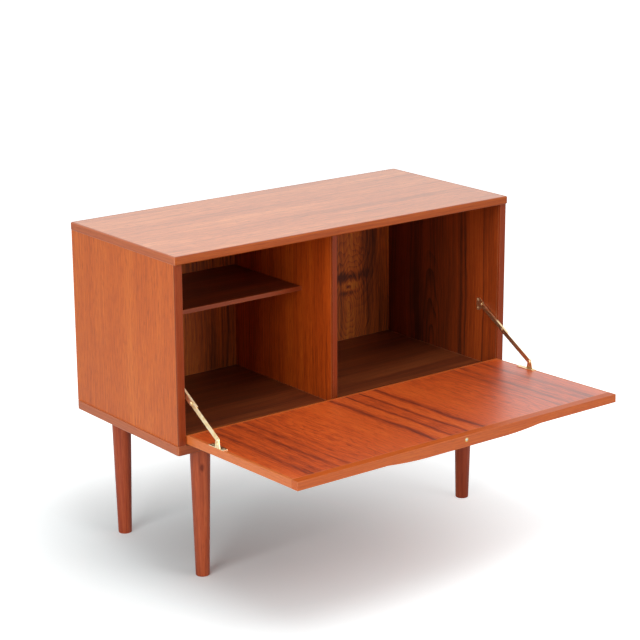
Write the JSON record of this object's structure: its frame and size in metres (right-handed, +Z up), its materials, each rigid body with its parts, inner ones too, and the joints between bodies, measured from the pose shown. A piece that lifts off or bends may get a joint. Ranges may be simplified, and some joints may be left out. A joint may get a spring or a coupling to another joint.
{
  "type": "drop front cabinet",
  "caption": "Wooden drop front cabinet on turned tapered legs, with a divider, a shelf and a fold-down flap on butt hinges held by folding brass stays.",
  "frame": {"origin": "on the floor, under the middle of the space that the cabinet takes up with its flap open", "axes": "+X to the right seen from the front, +Y to the back, +Z up"},
  "size_m": [0.95, 0.8174, 0.754],
  "materials": {
    "edge_wood": "lacquered teak edge strip",
    "carcass_veneer": "lacquered teak veneer",
    "flap_veneer": "lacquered teak veneer",
    "inner_veneer": "teak veneer in the shade",
    "back_board": "teak faced plywood",
    "leg_wood": "lacquered solid teak",
    "dowel_wood": "beech",
    "steel": "zinc plated steel",
    "brass": "brass"
  },
  "bodies": {
    "carcass": {"top_panel": "carcass_veneer", "top_front_lipping": "edge_wood", "top_back_lipping": "edge_wood", "top_left_lipping": "edge_wood", "top_right_lipping": "edge_wood", "bottom_panel": "carcass_veneer", "bottom_front_lipping": "edge_wood", "bottom_left_lipping": "edge_wood", "bottom_right_lipping": "edge_wood", "left_side_panel": "carcass_veneer", "left_side_front_lipping": "edge_wood", "right_side_panel": "carcass_veneer", "right_side_front_lipping": "edge_wood", "divider_panel": "inner_veneer", "divider_lipping": "edge_wood", "shelf_panel": "inner_veneer", "shelf_lipping": "edge_wood", "shelf_pins": "steel", "back_panel": "back_board", "back_panel_screws": "steel", "carcass_dowels": "dowel_wood", "front_left_leg": "leg_wood", "front_right_leg": "leg_wood", "back_left_leg": "leg_wood", "back_right_leg": "leg_wood", "leg_studs": "steel", "leg_inserts": "steel", "left_hinge_carcass_leaf": "brass", "right_hinge_carcass_leaf": "brass", "hinge_pins": "steel", "hinge_carcass_screws": "brass", "left_stay_side_bracket": "brass", "right_stay_side_bracket": "brass", "stay_pivot_stubs": "brass", "stay_side_screws": "brass", "strike_plate": "brass", "strike_plate_screws": "brass"},
    "flap": {"flap_panel": "flap_veneer", "flap_top_lipping": "edge_wood", "flap_bottom_lipping": "edge_wood", "flap_left_lipping": "edge_wood", "flap_right_lipping": "edge_wood", "left_hinge_flap_leaf": "brass", "right_hinge_flap_leaf": "brass", "hinge_flap_screws": "brass", "left_stay_flap_bracket": "brass", "right_stay_flap_bracket": "brass", "stay_flap_screws": "brass", "left_stay_flap_rivets": "brass", "right_stay_flap_rivets": "brass", "catch_barrel": "brass", "catch_spring": "steel"},
    "catch_ball_body": {"catch_ball": "steel"},
    "left_lower_link_body": {"left_lower_link": "brass"},
    "right_lower_link_body": {"right_lower_link": "brass"},
    "left_upper_link_body": {"left_upper_link": "brass", "left_link_rivets": "brass"},
    "right_upper_link_body": {"right_upper_link": "brass", "right_link_rivets": "brass"}
  },
  "joints": [
    {"name": "flap_hinge", "type": "hinge", "parent": "carcass", "child": "flap", "pos_m": [0, -0.00801, 0.3347], "axis": [-1, 0, 0], "range_deg": [0, 88.5]},
    {"name": "catch_slide", "type": "slide", "parent": "flap", "child": "catch_ball_body", "axis": [0, -0.9997, 0.0262], "range_m": [-0.0014, 0], "stiffness_N_per_m": 500, "deforming": ["catch_spring"]},
    {"name": "left_foot_pivot", "type": "hinge", "parent": "flap", "child": "left_lower_link_body", "pos_m": [-0.4507, -0.12568, 0.37569], "axis": [1, 0, 0], "range_deg": [0, 143.74]},
    {"name": "left_elbow_pivot", "type": "hinge", "parent": "left_lower_link_body", "child": "left_upper_link_body", "pos_m": [-0.4507, -0.02898, 0.43308], "axis": [-1, 0, 0], "range_deg": [0, 170.18]},
    {"name": "right_foot_pivot", "type": "hinge", "parent": "flap", "child": "right_lower_link_body", "pos_m": [0.4507, -0.12568, 0.37569], "axis": [1, 0, 0], "range_deg": [0, 143.74]},
    {"name": "right_elbow_pivot", "type": "hinge", "parent": "right_lower_link_body", "child": "right_upper_link_body", "pos_m": [0.4507, -0.02898, 0.43308], "axis": [-1, 0, 0], "range_deg": [0, 170.18]}
  ],
  "couplings": [
    {"joint": "left_foot_pivot", "follows": "flap_hinge", "ratio": 1.6241},
    {"joint": "left_elbow_pivot", "follows": "flap_hinge", "ratio": 1.9229},
    {"joint": "right_foot_pivot", "follows": "flap_hinge", "ratio": 1.6241},
    {"joint": "right_elbow_pivot", "follows": "flap_hinge", "ratio": 1.9229}
  ]
}
